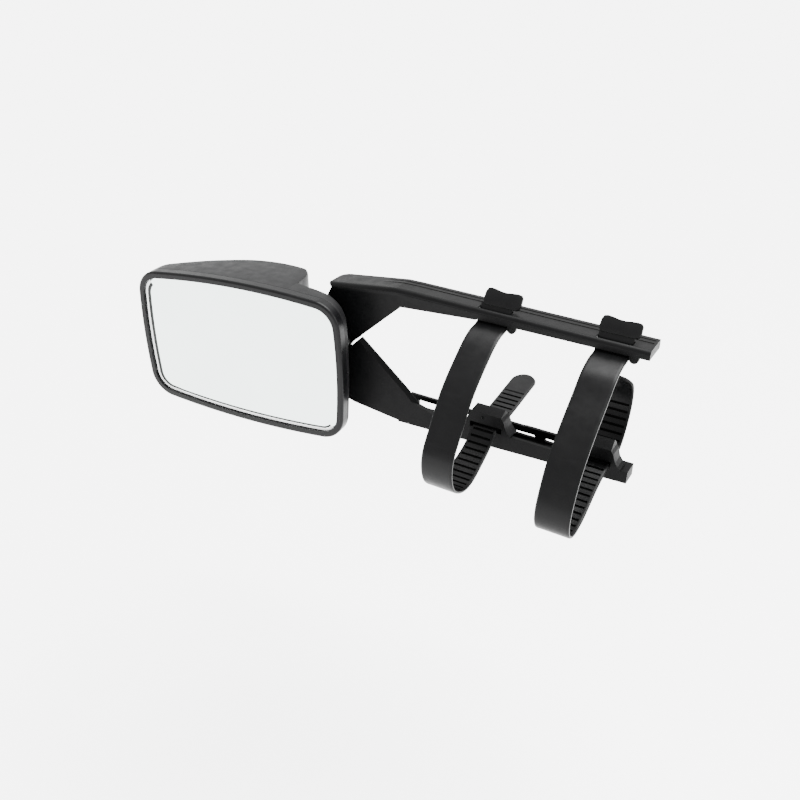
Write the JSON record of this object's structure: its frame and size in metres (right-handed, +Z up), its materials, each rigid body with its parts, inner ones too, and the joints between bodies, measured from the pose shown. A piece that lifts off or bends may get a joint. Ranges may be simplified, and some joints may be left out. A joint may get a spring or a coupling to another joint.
{
  "type": "clip-on towing mirror with strap clamp",
  "caption": "Clip-on towing mirror with a ball-jointed head, two hinged jaw arms and ratchet straps that tie it over a car's own wing mirror.",
  "frame": {"origin": "middle of the bearing face of the upper rail, half way between the two straps", "axes": "+Z up when fitted to a car, -Y is the side the glass faces (rearward), +X runs along the rails away from the mirror head (towards the car)"},
  "size_m": [0.4547, 0.1739, 0.1595],
  "materials": {
    "black_plastic": "satin moulded black with fine grain",
    "shell_plastic": "fine grained dark grey moulding",
    "bezel_plastic": "smooth black, slightly glossy",
    "buckle_plastic": "satin black moulding",
    "strap_plastic": "smooth flexible black plastic with a soft sheen",
    "mirror_glass": "silvered glass",
    "foam": "closed cell foam",
    "nylon": "glass filled nylon",
    "nylon_liner": "natural acetal",
    "cast_stud": "die cast, tumbled",
    "zinc_steel": "zinc plated",
    "spring_steel": "blued spring steel",
    "brass": "turned brass",
    "fibre": "red brown friction fibre",
    "rubber": "matt black grip rubber"
  },
  "bodies": {
    "upper": {"upper_arm": "black_plastic", "upper_grips": "rubber", "strap_1": "strap_plastic", "strap_2": "strap_plastic", "pivot_bolt": "zinc_steel", "friction_washers": "fibre", "flat_washer": "zinc_steel", "spring_washer": "spring_steel"},
    "lower": {"lower_arm": "black_plastic", "buckle_1": "buckle_plastic", "buckle_2": "buckle_plastic", "pawl_pins": "zinc_steel", "pawl_spring_1": "spring_steel", "pawl_spring_2": "spring_steel"},
    "knob": {"clamp_knob": "black_plastic", "knob_insert": "brass"},
    "bracket": {"ball_stud": "cast_stud"},
    "liner": {"socket_liner": "nylon_liner"},
    "head": {"head_shell": "shell_plastic", "bezel": "bezel_plastic", "mirror_glass": "mirror_glass", "foam_sheet": "foam", "glass_carrier": "black_plastic", "carrier_screws": "zinc_steel", "socket_cup": "nylon", "socket_cap": "nylon", "cap_screws": "zinc_steel", "socket_screws": "zinc_steel"},
    "pawl_a": {"pawl_1": "buckle_plastic"},
    "pawl_b": {"pawl_2": "buckle_plastic"}
  },
  "joints": [
    {"name": "jaw_hinge", "type": "hinge", "parent": "upper", "child": "lower", "pos_m": [-0.199, 0, -0.047], "axis": [0, 1, 0], "range_deg": [-8, 11], "deforming": ["strap_1", "strap_2"]},
    {"name": "head_roll", "type": "hinge", "parent": "upper", "child": "bracket", "pos_m": [-0.199, 0, -0.047], "axis": [0, 1, 0], "range_deg": [-10, 10]},
    {"name": "head_pan", "type": "hinge", "parent": "bracket", "child": "liner", "pos_m": [-0.25118, -0.00855, -0.055], "axis": [0, 0, 1], "range_deg": [-7, 3]},
    {"name": "head_tilt", "type": "hinge", "parent": "liner", "child": "head", "pos_m": [-0.25118, -0.00855, -0.055], "axis": [0.9969, 0.0785, 0], "range_deg": [-5, 5]},
    {"name": "knob_turn", "type": "hinge", "parent": "upper", "child": "knob", "pos_m": [-0.199, 0, -0.047], "axis": [0, 1, 0], "continuous": true},
    {"name": "pawl_1_release", "type": "hinge", "parent": "lower", "child": "pawl_a", "pos_m": [-0.0455, -0.005, -0.0843], "axis": [1, 0, 0], "range_deg": [0, 10], "stiffness_Nm_per_rad": 0.05, "springref_deg": -17.19},
    {"name": "pawl_2_release", "type": "hinge", "parent": "lower", "child": "pawl_b", "pos_m": [0.0448, -0.005, -0.0843], "axis": [1, 0, 0], "range_deg": [0, 10], "stiffness_Nm_per_rad": 0.05, "springref_deg": -17.19}
  ]
}
